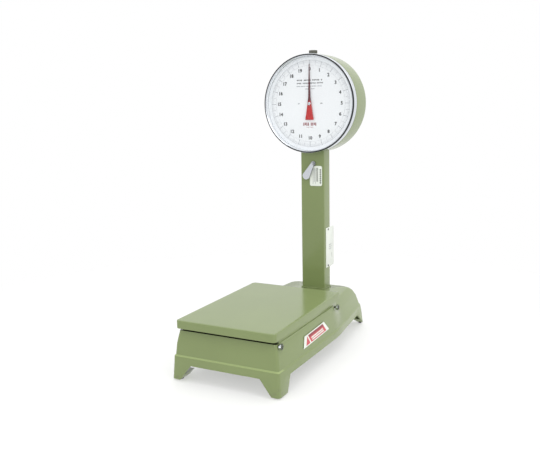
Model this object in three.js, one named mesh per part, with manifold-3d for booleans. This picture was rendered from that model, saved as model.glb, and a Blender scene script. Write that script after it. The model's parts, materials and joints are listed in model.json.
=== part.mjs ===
// Mechanical dial platform scale: a 20 kg dial on a column over a lever platform.
// Units are millimetres, +Z is up. The origin is on the floor under the middle of the scale's box.
// The user stands on the -Y side and looks along +Y at the dial, with +X to the right.

import * as THREE from 'three';
import { mergeVertices } from 'three/addons/utils/BufferGeometryUtils.js';
import Module from 'manifold-3d';

const wasm = await Module();
wasm.setup();

// ---------------------------------------------------------------- driving dimensions

const GAP = 0.3; // clearance between pieces that touch

// Distances along the scale are measured back from the platform's front edge.
const PLATFORM_FRONT = -304;
const along = (distance) => PLATFORM_FRONT + distance;

const PLATFORM = { width: 270, length: 397, top: 151.3, skirt: 19.6, corner: 10, sheet: 2 };

const BASE = {
  wall: 5,
  flange: 2.5, // thickness of the rim around the opening for the levers
  foot: 3.3, // height of the feet's undersides, over the rubber pads
  arch: 42, // height of the lower edge between the feet
  ridge: 62.5,
  deck: 116.5, // flat rear part that carries the column
  rim: 124, // wall tops under the platform
  middle: 350, // where the sides are widest
  neck: 405, // where the shoulders draw in behind the platform
};
const UPSTAND = { inner: 127, outer: 131.5, front: 24, rear: 372, height: 12 }; // along each side of the rim

// Outline of the base at rising heights: z, front, half-widths at front, middle, neck and rear, rear.
const BASE_LEVELS = [
  [BASE.foot, -5, 146.5, 154.6, 148, 129, 613],
  [BASE.arch, -2.5, 144.2, 152, 145, 125.5, 610],
  [BASE.ridge - 1.6, -0.5, 143.9, 151.7, 143.7, 122.2, 608],
  [BASE.ridge + 1.4, 2.2, 141.2, 149, 141, 119.5, 605.3],
  [92, 4.5, 138.5, 145, 132, 110.5, 600.5],
  [106, 7.5, 136, 142.5, 122, 103, 594],
  [113, 9, 134.8, 140.5, 115, 96, 588],
  [BASE.deck, 10, 134, 139.5, 110, 89, 581],
  [BASE.rim, 11.5, 133, 136.5, 108, 89, 581],
];

const COLUMN = { width: 72.6, depth: 44.5, front: 522, wall: 2, corner: 3, top: 541 };
const FLANGE = { width: 79, depth: 51, thickness: 3 };

const HEAD = { z: 661.4, front: 492.5, bezelDepth: 22.5, bezelRadius: 137, drumRadius: 139.5, rear: 599 };
const DIAL = { radius: 132.6, face: 508, thickness: 1 };

const FULL_TURN_TRAVEL = 36; // pull rod travel for one turn of the pointer
const PINION_RADIUS = FULL_TURN_TRAVEL / (2 * Math.PI);
const ROD_Y = 534; // pull rod, springs, rack and zero screw all lie in this plane

const LEVER = { z: 85, arm: 60, longFulcrum: 36, link: 196, spread: 85 };
LEVER.shortFulcrum = 2 * LEVER.link - LEVER.longFulcrum;

const LOCK = { x: 4.4, z: 490.5, length: 40.5, angle: 30 };

// ---------------------------------------------------------------- materials

const paint = (color, roughness = 0.35, metalness = 0) =>
  new THREE.MeshStandardMaterial({ color, roughness, metalness });
const GREEN = paint(0x9aa67c);
const STEEL = paint(0xb8bcc0, 0.35, 0.9);
const IRON = paint(0x6b6d6a, 0.6, 0.6);
const BRASS = paint(0xb99a55, 0.35, 0.9);
const RUBBER = paint(0x3a3a38, 0.8);
const WHITE = paint(0xf0f2f2, 0.5);
const RED = paint(0xc8443f, 0.45);
const CHROME = paint(0xc9ced3, 0.15, 1);
const GLASS = new THREE.MeshStandardMaterial({
  color: 0xdfe8ea, roughness: 0.05, transparent: true, opacity: 0.35,
});

// ---------------------------------------------------------------- geometry helpers

// Merges shared vertices and turns the faces outwards.
function closed(geometry) {
  const bare = geometry.clone();
  bare.deleteAttribute('normal');
  bare.deleteAttribute('uv');
  const merged = mergeVertices(bare, 1e-4);
  const p = merged.attributes.position;
  const index = Array.from(merged.index.array);
  const [a, b, c] = [new THREE.Vector3(), new THREE.Vector3(), new THREE.Vector3()];
  const kept = [];
  let volume = 0;
  for (let i = 0; i < index.length; i += 3) {
    const [ia, ib, ic] = index.slice(i, i + 3);
    if (ia === ib || ib === ic || ic === ia) continue;
    kept.push(ia, ib, ic);
    a.fromBufferAttribute(p, ia);
    b.fromBufferAttribute(p, ib);
    c.fromBufferAttribute(p, ic);
    volume += a.dot(b.cross(c));
  }
  if (volume < 0) {
    for (let i = 0; i < kept.length; i += 3) [kept[i + 1], kept[i + 2]] = [kept[i + 2], kept[i + 1]];
  }
  merged.setIndex(kept);
  return merged;
}

function solid(geometry) {
  const mesh = closed(geometry);
  return new wasm.Manifold(new wasm.Mesh({
    numProp: 3,
    vertProperties: new Float32Array(mesh.attributes.position.array),
    triVerts: new Uint32Array(mesh.index.array),
  }));
}

function geometryOf(manifold) {
  const mesh = manifold.getMesh();
  const geometry = new THREE.BufferGeometry();
  geometry.setAttribute('position', new THREE.BufferAttribute(mesh.vertProperties, 3));
  geometry.setIndex(Array.from(mesh.triVerts));
  return geometry;
}

function join(...geometries) {
  return geometryOf(geometries.map(solid).reduce((sum, next) => sum.add(next)));
}

function cut(geometry, ...tools) {
  return geometryOf(tools.map(solid).reduce((rest, tool) => rest.subtract(tool), solid(geometry)));
}

function block(x0, x1, y0, y1, z0, z1) {
  const box = new THREE.BoxGeometry(x1 - x0, y1 - y0, z1 - z0);
  return box.translate((x0 + x1) / 2, (y0 + y1) / 2, (z0 + z1) / 2);
}

const cylinder = (radius, length, sides) => new THREE.CylinderGeometry(radius, radius, length, sides);

function rodX(radius, x0, x1, y, z, sides = 24) {
  return cylinder(radius, x1 - x0, sides).rotateZ(Math.PI / 2).translate((x0 + x1) / 2, y, z);
}

function rodY(radius, x, y0, y1, z, sides = 24) {
  return cylinder(radius, y1 - y0, sides).translate(x, (y0 + y1) / 2, z);
}

function rodZ(radius, x, y, z0, z1, sides = 24) {
  return cylinder(radius, z1 - z0, sides).rotateX(Math.PI / 2).translate(x, y, (z0 + z1) / 2);
}

function polygon(points) {
  return new THREE.Shape(points.map(([u, v]) => new THREE.Vector2(u, v)));
}

function roundedRectangle(u0, u1, v0, v1, radius, ShapeClass = THREE.Shape) {
  const shape = new ShapeClass();
  shape.moveTo(u0 + radius, v0);
  shape.lineTo(u1 - radius, v0);
  shape.absarc(u1 - radius, v0 + radius, radius, -Math.PI / 2, 0);
  shape.lineTo(u1, v1 - radius);
  shape.absarc(u1 - radius, v1 - radius, radius, 0, Math.PI / 2);
  shape.lineTo(u0 + radius, v1);
  shape.absarc(u0 + radius, v1 - radius, radius, Math.PI / 2, Math.PI);
  shape.lineTo(u0, v0 + radius);
  shape.absarc(u0 + radius, v0 + radius, radius, Math.PI, 1.5 * Math.PI);
  return shape;
}

// A plan shape (u = x, v = y) raised from z0 to z1.
function raised(shape, z0, z1, curveSegments = 5) {
  const geometry = new THREE.ExtrudeGeometry(shape, { depth: z1 - z0, bevelEnabled: false, curveSegments });
  return geometry.translate(0, 0, z0);
}

// A front-view shape (u = x, v = z) running from y0 to y1.
function frontShape(shape, y0, y1, curveSegments = 5) {
  const depth = y1 - y0;
  return new THREE.ExtrudeGeometry(shape, { depth, bevelEnabled: false, curveSegments })
    .rotateX(Math.PI / 2).translate(0, y1, 0);
}

// A side-view shape (u = y, v = z) running from x0 to x1.
function sideShape(shape, x0, x1, curveSegments = 5) {
  const geometry = new THREE.ExtrudeGeometry(shape, { depth: x1 - x0, bevelEnabled: false, curveSegments });
  return geometry.rotateX(Math.PI / 2).rotateZ(Math.PI / 2).translate(x0, 0, 0);
}

// A profile of [radius, distance along the scale] points turned about a line that runs back at height z.
function turnedAbout(z, profile, segments = 24) {
  const points = profile.map(([r, distance]) => new THREE.Vector2(r, along(distance)));
  return new THREE.LatheGeometry(points, segments).translate(0, 0, z);
}

// A profile turned about the head's own axis.
const turned = (profile, segments = 72) => turnedAbout(HEAD.z, profile, segments);

// A corner rounded by a curve that starts and ends one reach away from it.
function roundCorner(before, corner, after, reach, steps) {
  const start = corner.clone().add(before.clone().sub(corner).setLength(reach));
  const end = corner.clone().add(after.clone().sub(corner).setLength(reach));
  return new THREE.QuadraticBezierCurve(start, corner, end).getPoints(steps);
}

// Joins equal rings of points, bottom to top, into one closed body.
function loft(rings) {
  const count = rings[0].length;
  const positions = rings.flat().flatMap((point) => [point.x, point.y, point.z]);
  const index = [];
  for (let level = 0; level + 1 < rings.length; level += 1) {
    for (let i = 0; i < count; i += 1) {
      const a = level * count + i;
      const b = level * count + ((i + 1) % count);
      index.push(a, b, b + count, a, b + count, a + count);
    }
  }
  const last = (rings.length - 1) * count;
  for (const [a, b, c] of THREE.ShapeUtils.triangulateShape(rings[0], [])) index.push(a, c, b);
  for (const corners of THREE.ShapeUtils.triangulateShape(rings.at(-1), [])) {
    index.push(...corners.map((corner) => last + corner));
  }
  const geometry = new THREE.BufferGeometry();
  geometry.setAttribute('position', new THREE.Float32BufferAttribute(positions, 3));
  geometry.setIndex(index);
  return geometry;
}

// ---------------------------------------------------------------- assembly

const scale = new THREE.Group();

function place(name, geometry, material) {
  const mesh = new THREE.Mesh(closed(geometry), material);
  mesh.name = name;
  scale.add(mesh);
  return mesh;
}

const SIDES = [['left', -1], ['right', 1]];

// ---------------------------------------------------------------- base

// Bolts through the side walls hold the fulcrum brackets; only the right-hand ones have heads outside.
const HANGER_Z = 117.8;
const BOLT = { shank: 2.2, hole: 2.5, head: 8, headLength: 7 };
const HANGERS = SIDES.flatMap(([sideName, side]) => [
  { name: `front_${sideName}`, side, bolt: 20, wallX: 134.5, fulcrum: LEVER.longFulcrum },
  { name: `rear_${sideName}`, side, bolt: 360, wallX: 136.5, fulcrum: LEVER.shortFulcrum },
]);

function baseRing([z, front, frontHalf, middleHalf, neckHalf, rearHalf, rear], inset) {
  const corners = [
    [frontHalf, front + inset, 8, 5],
    [middleHalf, BASE.middle, 25, 2],
    [neckHalf, BASE.neck, 20, 2],
    [rearHalf, rear - inset, 22, 5],
  ].map(([half, distance, reach, steps]) => ({ x: half - inset, y: along(distance), reach, steps }));
  const mirrored = corners.toReversed().map((corner) => ({ ...corner, x: -corner.x }));
  const loop = [...corners, ...mirrored];
  const spots = loop.map(({ x, y }) => new THREE.Vector2(x, y));
  return loop.flatMap(({ reach, steps }, i) => {
    const before = spots[(i + loop.length - 1) % loop.length];
    const after = spots[(i + 1) % loop.length];
    return roundCorner(before, spots[i], after, reach, steps).map((p) => new THREE.Vector3(p.x, p.y, z));
  });
}

function baseCasting() {
  const outer = loft(BASE_LEVELS.map((level) => baseRing(level, 0)));
  const hollowFloor = 18; // the feet are solid below this height
  const hollowTop = BASE.rim - BASE.flange;
  const hollowLevels = BASE_LEVELS.map((level) => [...level]);
  hollowLevels[0][0] = hollowFloor;
  hollowLevels.at(-1)[0] = hollowTop;
  const hollow = loft(hollowLevels.map((level) => baseRing(level, BASE.wall)));
  const overDeck = block(-200, 200, along(BASE.neck), along(700), BASE.deck, 200);
  const underDeck = block(-200, 200, along(BASE.neck - BASE.wall), along(700), BASE.deck - BASE.wall, 200);
  const interior = cut(hollow, underDeck);
  const below = BASE.foot - 1;
  const frontArch = frontShape(polygon([[-94, BASE.arch], [-125.5, below], [125.5, below], [94, BASE.arch]]),
    along(-20), along(200));
  const rearArch = frontShape(polygon([[-80, BASE.arch], [-112, below], [112, below], [80, BASE.arch]]),
    along(400), along(640));
  const sideArch = sideShape(polygon([
    [along(56), BASE.arch], [along(548), BASE.arch], [along(601), below], [along(36), below],
  ]), -200, 200);
  const leverOpening = raised(roundedRectangle(-106, 106, along(44), along(385), 10), BASE.deck - 10, 200);
  const rodOpening = block(-14, 14, along(ROD_Y - 9), along(ROD_Y + 9), 100, 130);
  const boltHoles = HANGERS.map(({ side, bolt }) => {
    const [x0, x1] = [side * 90, side * 160].sort((a, b) => a - b);
    return rodX(BOLT.hole, x0, x1, along(bolt), HANGER_Z, 16);
  });
  const upstands = SIDES.map(([, side]) => {
    const [x0, x1] = [side * UPSTAND.inner, side * UPSTAND.outer].sort((a, b) => a - b);
    return block(x0, x1, along(UPSTAND.front), along(UPSTAND.rear), BASE.rim - 1, BASE.rim + UPSTAND.height);
  });
  return cut(join(outer, ...upstands), overDeck, interior, frontArch, rearArch, sideArch,
    leverOpening, rodOpening, ...boltHoles);
}

place('base_casting', baseCasting(), GREEN);

for (const [sideName, side] of SIDES) {
  place(`foot_pad_front_${sideName}`, rodZ(8, side * 134, along(13), 0, BASE.foot - GAP, 20), RUBBER);
  place(`foot_pad_rear_${sideName}`, rodZ(5, side * 118, along(605), 0, BASE.foot - GAP, 20), RUBBER);
}

// Each hanger bolt holds a bracket inside the wall, and the bracket's notch holds the end of a fulcrum knife.
for (const { name, side, bolt, wallX, fulcrum } of HANGERS) {
  const head = cylinder(BOLT.head, BOLT.headLength, 6).rotateZ(Math.PI / 2);
  const headed = join(rodX(BOLT.shank, 102, wallX + 2, 0, 0, 16),
    head.translate(wallX + 1.5 + BOLT.headLength / 2, 0, 0));
  const flush = rodX(BOLT.shank, 0.8 - wallX, -102, 0, 0, 16);
  place(`hanger_bolt_${name}`, (side > 0 ? headed : flush).translate(0, along(bolt), HANGER_Z), CHROME);

  const outline = polygon([
    [Math.max(bolt - 7, 17), HANGER_Z + 3.4], [bolt + 7, HANGER_Z + 3.4], [fulcrum + 9, LEVER.z + 8],
    [fulcrum + 9, LEVER.z - 12], [fulcrum - 9, LEVER.z - 12], [fulcrum - 9, LEVER.z + 8],
  ].map(([distance, z]) => [along(distance), z]));
  const bracketX = [side * 101, side * 111].sort((a, b) => a - b);
  const notch = sideShape(polygon([
    [fulcrum - 6.5, LEVER.z + 7], [fulcrum - 6.5, LEVER.z - 1], [fulcrum, LEVER.z - 6.5],
    [fulcrum + 6.5, LEVER.z - 1], [fulcrum + 6.5, LEVER.z + 7],
  ].map(([distance, z]) => [along(distance), z])), -200, 200);
  const boltHole = rodX(BOLT.hole, -200, 200, along(bolt), HANGER_Z, 16);
  place(`fulcrum_bracket_${name}`, cut(sideShape(outline, ...bracketX), notch, boltHole), IRON);
}

const BADGE = {
  front: 133, rear: 286, low: 77.9, high: 105.3, thickness: 0.8,
  frontInset: 12.4, // slant of the front end
  rearInset: 24.8, // slant of the rear end
  tilt: 2, // degrees by which it climbs towards the rear
};

// The badge lies on the leaning right-hand wall of the base.
function sideBadge() {
  const halfLength = (BADGE.rear - BADGE.front) / 2;
  const [lowLevel, highLevel] = [BASE_LEVELS[3], BASE_LEVELS[4]];
  const halfAt = ([, , frontHalf, middleHalf], distance) =>
    frontHalf + (middleHalf - frontHalf) * (distance / BASE.middle);
  const middle = (BADGE.front + BADGE.rear) / 2;
  const lean = Math.atan2(halfAt(lowLevel, middle) - halfAt(highLevel, middle), highLevel[0] - lowLevel[0]);
  const flare = Math.atan2(halfAt(lowLevel, middle + 50) - halfAt(lowLevel, middle - 50), 100);
  const height = BADGE.high - BADGE.low;
  const shape = polygon([
    [-halfLength, -height / 2], [halfLength, -height / 2],
    [halfLength - BADGE.rearInset, height / 2], [BADGE.frontInset - halfLength, height / 2],
  ]);
  const centre = (BADGE.low + BADGE.high) / 2;
  const share = (centre - lowLevel[0]) / (highLevel[0] - lowLevel[0]);
  const wallX = halfAt(lowLevel, middle) * (1 - share) + halfAt(highLevel, middle) * share;
  const plate = sideShape(shape, 0, BADGE.thickness).rotateX(BADGE.tilt * Math.PI / 180);
  plate.rotateY(-lean).rotateZ(-flare);
  return plate.translate(wallX + 1.2, along(middle), centre);
}

place('side_badge', sideBadge(), RED);

// ---------------------------------------------------------------- column

const columnCentre = COLUMN.front + COLUMN.depth / 2;
const columnFoot = BASE.deck + GAP + FLANGE.thickness + GAP;

function centredRectangle(width, depth, radius, ShapeClass) {
  const y = along(columnCentre);
  return roundedRectangle(-width / 2, width / 2, y - depth / 2, y + depth / 2, radius, ShapeClass);
}

function columnTube() {
  const section = centredRectangle(COLUMN.width, COLUMN.depth, COLUMN.corner);
  section.holes.push(centredRectangle(COLUMN.width - 2 * COLUMN.wall, COLUMN.depth - 2 * COLUMN.wall,
    COLUMN.corner - 1, THREE.Path));
  const bushHole = rodY(6, LOCK.x, along(COLUMN.front - 5), along(COLUMN.front + 10), LOCK.z);
  return cut(raised(section, columnFoot, COLUMN.top), bushHole);
}

function columnFlange() {
  const plate = centredRectangle(FLANGE.width, FLANGE.depth, 4);
  const hole = new THREE.Path();
  hole.absellipse(0, along(ROD_Y + 5), 14, 11, 0, 2 * Math.PI, true);
  plate.holes.push(hole);
  return raised(plate, BASE.deck + GAP, BASE.deck + GAP + FLANGE.thickness, 6);
}

place('column_flange', columnFlange(), GREEN);
place('column_tube', columnTube(), GREEN);

const plateFace = COLUMN.width / 2 + GAP;
const SIDE_PLATE = { front: 533, rear: 592, low: 179.5, high: 299, thickness: 1.5, screwY: 547 };
const sidePlateOuter = plateFace + SIDE_PLATE.thickness;

place('side_plate', block(plateFace, sidePlateOuter, along(SIDE_PLATE.front), along(SIDE_PLATE.rear),
  SIDE_PLATE.low, SIDE_PLATE.high), WHITE);
for (const [name, z] of [['lower', SIDE_PLATE.low + 5], ['upper', SIDE_PLATE.high - 5]]) {
  const screw = rodX(3, sidePlateOuter + GAP, sidePlateOuter + GAP + 1.8, along(SIDE_PLATE.screwY), z, 12);
  place(`plate_screw_${name}`, screw, IRON);
}

const LABEL = { left: -8, right: 30.5, low: 425, high: 483.5, corner: 5, thickness: 0.8 };
const labelOutline = roundedRectangle(LABEL.left, LABEL.right, LABEL.low, LABEL.high, LABEL.corner);
const labelRear = along(COLUMN.front) - GAP;
place('instruction_plate', frontShape(labelOutline, labelRear - LABEL.thickness, labelRear), WHITE);

// ---------------------------------------------------------------- lock

const SHAFT = { radius: 3.5, front: 511, cam: 527, rear: 530.5 };

function lockBush() {
  const [bore, flange, barrel] = [SHAFT.radius + GAP, 6.7, 6 - GAP];
  return turnedAbout(LOCK.z, [
    [bore, 517], [flange, 517], [flange, COLUMN.front - GAP], [barrel, COLUMN.front - GAP],
    [barrel, 526], [bore, 526], [bore, 517],
  ]).translate(LOCK.x, 0, 0);
}

// Seen from the front the lever hangs from its pivot, narrow at the pivot and widening to a round paddle.
function lockLever() {
  const shape = new THREE.Shape();
  const [pivotRadius, paddleRadius] = [5, 11.5];
  const tilt = Math.asin((paddleRadius - pivotRadius) / LOCK.length);
  shape.absarc(0, 0, pivotRadius, -tilt, Math.PI + tilt);
  shape.absarc(0, -LOCK.length, paddleRadius, Math.PI + tilt, 2 * Math.PI - tilt);
  const blade = frontShape(shape, 0, 4, 8);
  const bore = cylinder(SHAFT.radius + GAP, 20, 20);
  const lever = cut(blade, bore).rotateY(LOCK.angle * Math.PI / 180);
  return lever.translate(LOCK.x, along(SHAFT.front + 1.5), LOCK.z);
}

function lockShaft() {
  const shaft = turnedAbout(LOCK.z, [
    [0, SHAFT.front], [SHAFT.radius, SHAFT.front], [SHAFT.radius, SHAFT.rear], [0, SHAFT.rear],
  ], 20);
  const cam = rodY(7, 4, along(SHAFT.cam), along(SHAFT.rear), LOCK.z - 3, 20);
  return join(shaft, cam).translate(LOCK.x, 0, 0);
}

place('lock_bush', lockBush(), STEEL);
place('lock_lever', lockLever(), CHROME);
place('lock_shaft', lockShaft(), STEEL);

// ---------------------------------------------------------------- head

const drumFront = HEAD.front + HEAD.bezelDepth + GAP;

function headDrum() {
  const shell = 1.6;
  const { drumRadius, rear } = HEAD;
  const outer = [
    [drumRadius, drumFront], [drumRadius, rear - 12], [drumRadius - 2, rear - 6],
    [drumRadius - 7, rear - 1.5], [drumRadius - 13, rear],
  ];
  const inner = outer.toReversed().map(([r, y]) => [r - shell, Math.max(y - shell, drumFront)]);
  const coverHole = 112;
  const profile = [...outer, [coverHole, rear], [coverHole, rear - shell], ...inner, outer[0]];
  const drum = turned(profile);
  const columnOutline = centredRectangle(COLUMN.width + 2 * GAP, COLUMN.depth + 2 * GAP, COLUMN.corner);
  const columnHole = raised(columnOutline, 500, 560);
  const screwHole = rodZ(5.5, 0, along(ROD_Y), 780, 820);
  return cut(drum, columnHole, screwHole);
}

function bezelRing() {
  const { bezelRadius, front, bezelDepth } = HEAD;
  const [lip, lining, band] = [bezelRadius - 5, bezelRadius - 4, bezelRadius + 2.2];
  const rear = front + bezelDepth;
  return turned([
    [lip, front + 1], [bezelRadius - 3.5, front], [bezelRadius + 0.6, front],
    [bezelRadius + 1.4, front + 1.2], [band, front + 5], [band, rear],
    [lining, rear], [lining, front + 3], [lip, front + 3], [lip, front + 1],
  ]);
}

function dialGlass() {
  const [near, far] = [HEAD.front + 3 + GAP, HEAD.front + 5 + GAP];
  return turned([[0, near], [DIAL.radius, near], [DIAL.radius, far], [0, far]]);
}

function dialPlate() {
  const [near, far] = [DIAL.face, DIAL.face + DIAL.thickness];
  const bore = 4;
  return turned([[bore, near], [DIAL.radius, near], [DIAL.radius, far], [bore, far], [bore, near]]);
}

place('head_drum', headDrum(), GREEN);
place('bezel_ring', bezelRing(), CHROME);
place('dial_glass', dialGlass(), GLASS);
place('dial_plate', dialPlate(), WHITE);

const COVER = { radius: 121, thickness: 1.6, screws: 3, screwRadius: 116.5 };
const coverFront = HEAD.rear + GAP;
const coverRear = coverFront + COVER.thickness;
place('rear_cover', turned([
  [0, coverFront], [COVER.radius, coverFront], [COVER.radius - 1, coverRear], [0, coverRear],
]), GREEN);
for (let i = 0; i < COVER.screws; i += 1) {
  const angle = (i / COVER.screws) * 2 * Math.PI;
  const near = along(coverRear + GAP);
  place(`cover_screw_${i + 1}`, rodY(3.5, COVER.screwRadius * Math.sin(angle), near, near + 2,
    HEAD.z + COVER.screwRadius * Math.cos(angle), 12), STEEL);
}

// ---------------------------------------------------------------- movement in the head

const SPRING = { x: 45, radius: 7, wire: 1.6, turns: 14, low: 606, high: 736 };
const FRAME = { half: 64, cheek: 2.5, low: COLUMN.top + GAP, high: 772, front: 522, rear: 566 };

// Two cheeks joined by a floor, a roof and two cross plates that carry the arbor.
function movementFrame() {
  const { half, cheek, low, high, front, rear } = FRAME;
  const frame = cut(
    block(-half, half, along(front), along(rear), low, high),
    block(-half + cheek, half - cheek, along(front - 1), along(rear + 1), low + cheek, high - cheek),
  );
  const crossPlates = [front, rear - cheek].map((y) =>
    block(-half + 1, half - 1, along(y), along(y + cheek), HEAD.z - 12, HEAD.z + 12));
  const rodHole = rodZ(5, 0, along(ROD_Y), low - 5, low + 10, 16);
  const screwHole = rodZ(4.2, 0, along(ROD_Y), high - 10, high + 5, 16);
  const arborHole = rodY(2.4, 0, along(front - 5), along(rear + 5), HEAD.z, 16);
  return cut(join(frame, ...crossPlates), rodHole, screwHole, arborHole);
}

class Helix extends THREE.Curve {
  getPoint(t, target = new THREE.Vector3()) {
    const { radius, turns, low, high } = SPRING;
    const angle = t * turns * 2 * Math.PI;
    return target.set(radius * Math.cos(angle), radius * Math.sin(angle), t * (high - low));
  }
}

function spring(x) {
  const wireShape = new THREE.Shape();
  wireShape.absarc(0, 0, SPRING.wire, 0, 2 * Math.PI);
  const coil = new THREE.ExtrudeGeometry(wireShape, {
    steps: SPRING.turns * 10, extrudePath: new Helix(), curveSegments: 2, bevelEnabled: false,
  });
  return coil.translate(x, along(ROD_Y), SPRING.low);
}

place('movement_frame', movementFrame(), IRON);
place('spring_left', spring(-SPRING.x), STEEL);
place('spring_right', spring(SPRING.x), STEEL);

const barHalf = 56;
const springEnd = SPRING.wire + GAP;

function crossBar(z0, z1, hole) {
  const bar = block(-barHalf, barHalf, along(ROD_Y - 5), along(ROD_Y + 5), z0, z1);
  return cut(bar, rodZ(hole, 0, along(ROD_Y), z0 - 5, z1 + 5, 16));
}

const YOKE = { low: SPRING.low - springEnd - 8, high: SPRING.low - springEnd };
const CARRIER = { low: SPRING.high + springEnd, high: SPRING.high + springEnd + 8 };
place('spring_carrier', crossBar(CARRIER.low, CARRIER.high, 3.3), IRON);
place('spring_yoke', crossBar(YOKE.low, YOKE.high, 3.3), IRON);

const KNOB = { radius: 12, low: HEAD.z + HEAD.drumRadius + 1.2, high: 811, fluted: 18 };

function zeroKnob() {
  const shape = new THREE.Shape();
  for (let i = 0; i < KNOB.fluted * 2; i += 1) {
    const angle = (i / (KNOB.fluted * 2)) * 2 * Math.PI;
    const r = KNOB.radius - (i % 2) * 0.9;
    if (i === 0) shape.moveTo(r, 0);
    else shape.lineTo(r * Math.cos(angle), r * Math.sin(angle));
  }
  const bore = rodZ(3.3, 0, 0, 700, KNOB.high - 3, 16);
  return cut(raised(shape, KNOB.low, KNOB.high), bore).translate(0, along(ROD_Y), 0);
}

place('zero_knob', zeroKnob(), RUBBER);
place('zero_screw', rodZ(3, 0, along(ROD_Y), CARRIER.low - 6, KNOB.high - 3 - GAP, 16), STEEL);

// ---------------------------------------------------------------- pull rod

const ROD = { radius: 2.8, low: 88, high: YOKE.high + 5 };
const STIRRUP = { half: 11, low: 56.5, thickness: 6 };

function pullRod() {
  const { half, low, thickness } = STIRRUP;
  const stirrup = cut(
    block(-half, half, along(ROD_Y - thickness / 2), along(ROD_Y + thickness / 2), low, ROD.low),
    block(-half + 4, half - 4, along(ROD_Y - 10), along(ROD_Y + 10), low + 4, ROD.low - 4),
  );
  return join(rodZ(ROD.radius, 0, along(ROD_Y), ROD.low - 2, ROD.high, 16), stirrup);
}

// The rack stands on the yoke to the right of the arbor, so going down it turns the pointer clockwise.
const TEETH = 12;
const TOOTH = { pitch: FULL_TURN_TRAVEL / TEETH, depth: 1.6 };
const RACK = { low: YOKE.high + GAP, high: 712, width: 6, back: 5.5 };
const meshGap = 0.5;

function rack() {
  const pitchX = PINION_RADIUS + meshGap;
  const [crest, valley] = [pitchX - TOOTH.depth / 2, pitchX + TOOTH.depth / 2];
  const points = [[valley + RACK.back, RACK.low], [valley + RACK.back, RACK.high]];
  const first = HEAD.z + TOOTH.pitch / 2;
  for (let n = 14; n >= -15; n -= 1) {
    const z = first + n * TOOTH.pitch;
    points.push([valley, z + TOOTH.pitch * 0.27], [crest, z + TOOTH.pitch * 0.1],
      [crest, z - TOOTH.pitch * 0.1], [valley, z - TOOTH.pitch * 0.27]);
  }
  points.push([valley, RACK.low]);
  return frontShape(polygon(points), along(ROD_Y - RACK.width / 2), along(ROD_Y + RACK.width / 2));
}

const DASHPOT = { x: 19, y: 551, radius: 11, low: 205, high: 300, arm: 345, piston: 272 };

function dashpotCylinder() {
  const { radius, low, high } = DASHPOT;
  const bore = radius - 1.5;
  const profile = [[0, low], [radius, low], [radius, high], [bore, high], [bore, low + 3], [0, low + 3]];
  return new THREE.LatheGeometry(profile.map(([r, z]) => new THREE.Vector2(r, z)), 24)
    .rotateX(Math.PI / 2).translate(DASHPOT.x, along(DASHPOT.y), 0);
}

function dashpotPiston() {
  const { x, y, radius, arm, piston } = DASHPOT;
  const reach = Math.hypot(x, y - ROD_Y);
  const bar = block(-6, reach + 4, -4, 4, arm, arm + 8);
  bar.rotateZ(Math.atan2(y - ROD_Y, x)).translate(0, along(ROD_Y), 0);
  const stem = rodZ(2, x, along(y), piston, arm + 4, 12);
  const disc = rodZ(radius - 2.5, x, along(y), piston - 4, piston + 1, 24);
  return cut(join(bar, stem, disc), rodZ(ROD.radius + GAP, 0, along(ROD_Y), arm - 5, arm + 15, 16));
}

place('pull_rod', pullRod(), STEEL);
place('rack', rack(), BRASS);
place('dashpot_cylinder', dashpotCylinder(), STEEL);
place('dashpot_piston', dashpotPiston(), IRON);

// ---------------------------------------------------------------- pointer

const POINTER = { face: 503.6, thickness: 0.8, tip: 111, tail: 45 };

function pinionArbor() {
  const shape = new THREE.Shape();
  const [root, tip] = [PINION_RADIUS - 0.9, PINION_RADIUS + 0.6];
  for (let i = 0; i < TEETH; i += 1) {
    [[root, -0.27], [tip, -0.12], [tip, 0.12], [root, 0.27]].forEach(([r, offset], corner) => {
      const angle = ((i + offset) / TEETH) * 2 * Math.PI;
      if (i === 0 && corner === 0) shape.moveTo(r * Math.cos(angle), r * Math.sin(angle));
      else shape.lineTo(r * Math.cos(angle), r * Math.sin(angle));
    });
  }
  const pinion = frontShape(shape, along(ROD_Y - 4), along(ROD_Y + 4)).translate(0, 0, HEAD.z);
  return join(pinion, rodY(2, 0, along(POINTER.face - 1.5), along(FRAME.rear + 3), HEAD.z, 16));
}

// A thin needle upwards and a broad counterweight that widens downwards.
function pointer() {
  const { face, thickness, tip, tail } = POINTER;
  const shape = polygon([
    [-0.8, tip], [-3.3, 18], [-5.8, 0], [-13, -tail], [13, -tail], [5.8, 0], [3.3, 18], [0.8, tip],
  ]);
  const blade = frontShape(shape, along(face), along(face + thickness)).translate(0, 0, HEAD.z);
  return cut(blade, rodY(2 + GAP, 0, along(face - 5), along(face + 5), HEAD.z, 16));
}

place('pinion_arbor', pinionArbor(), BRASS);
place('pointer', pointer(), RED);
place('pointer_cap', turned([
  [0, POINTER.face - 1.8], [4.5, POINTER.face - 1.8], [3, POINTER.face - 2.5], [0, POINTER.face - 2.6],
], 20), BRASS);

// ---------------------------------------------------------------- levers

const KNIFE = 5; // half the diagonal of a knife bar's square section

function knifeBar(distance, half) {
  const section = polygon([[-KNIFE, 0], [0, -KNIFE], [KNIFE, 0], [0, KNIFE]]);
  return sideShape(section, -half, half).translate(0, along(distance), LEVER.z);
}

function knifeHole(distance) {
  const clear = KNIFE + 1.5 * GAP;
  const section = polygon([[-clear, 0], [0, -clear], [clear, 0], [0, clear]]);
  return sideShape(section, -150, 150).translate(0, along(distance), LEVER.z);
}

const LONG_LOW = 61; // the long lever's frame lies under the knives, which its ears carry
const LONG_HIGH = 74;

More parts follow.
